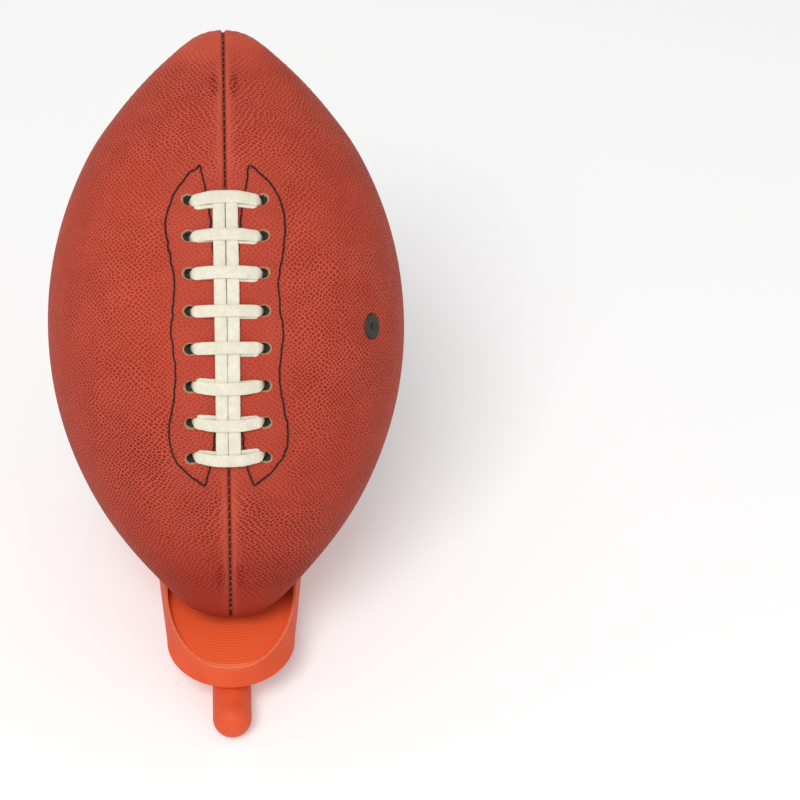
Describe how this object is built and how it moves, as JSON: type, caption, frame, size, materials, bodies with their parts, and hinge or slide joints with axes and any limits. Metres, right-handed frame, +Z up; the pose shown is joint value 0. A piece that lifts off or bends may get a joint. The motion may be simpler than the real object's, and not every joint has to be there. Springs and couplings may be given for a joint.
{
  "type": "football display stand",
  "caption": "Leather football leaning back in a ribbed printed cradle on a splayed foot; the ball turns in its seat and lifts out along its own axis.",
  "frame": {"origin": "on the floor at the middle of the whole object's plan box", "axes": "+Z up, -Y the front that the laces face, +X to the right seen from the front"},
  "size_m": [0.1712, 0.2454, 0.261],
  "materials": {
    "leather": "pebbled",
    "lining": "woven",
    "lace": "smooth",
    "facing": "smooth",
    "thread": "waxed",
    "bladder": "smooth",
    "valve": "smooth",
    "print": "printed"
  },
  "bodies": {
    "stand": {"cradle": "print", "front_leg": "print", "rear_leg_left": "print", "rear_leg_right": "print"},
    "ball_core": {"bladder": "bladder"},
    "ball_cover": {"panel_front_left": "leather", "panel_front_right": "leather", "panel_rear_left": "leather", "panel_rear_right": "leather", "lining_front_left": "lining", "lining_front_right": "lining", "lining_rear_left": "lining", "lining_rear_right": "lining", "valve": "valve", "lace_long_left": "lace", "lace_long_right": "lace", "lace_bar_1": "lace", "lace_bar_2": "lace", "lace_bar_3": "lace", "lace_bar_4": "lace", "lace_bar_5": "lace", "lace_bar_6": "lace", "lace_bar_7": "lace", "lace_bar_8": "lace", "facing_left": "facing", "facing_right": "facing", "seam_thread_front": "thread", "seam_thread_right": "thread", "seam_thread_rear": "thread", "seam_thread_left": "thread"}
  },
  "joints": [
    {"name": "ball_lift", "type": "slide", "parent": "stand", "child": "ball_core", "axis": [0, 0.6088, 0.7934], "range_m": [0, 0.12]},
    {"name": "ball_turn", "type": "hinge", "parent": "ball_core", "child": "ball_cover", "pos_m": [0, 0.01945, 0.14166], "axis": [0, 0.6088, 0.7934], "continuous": true}
  ]
}
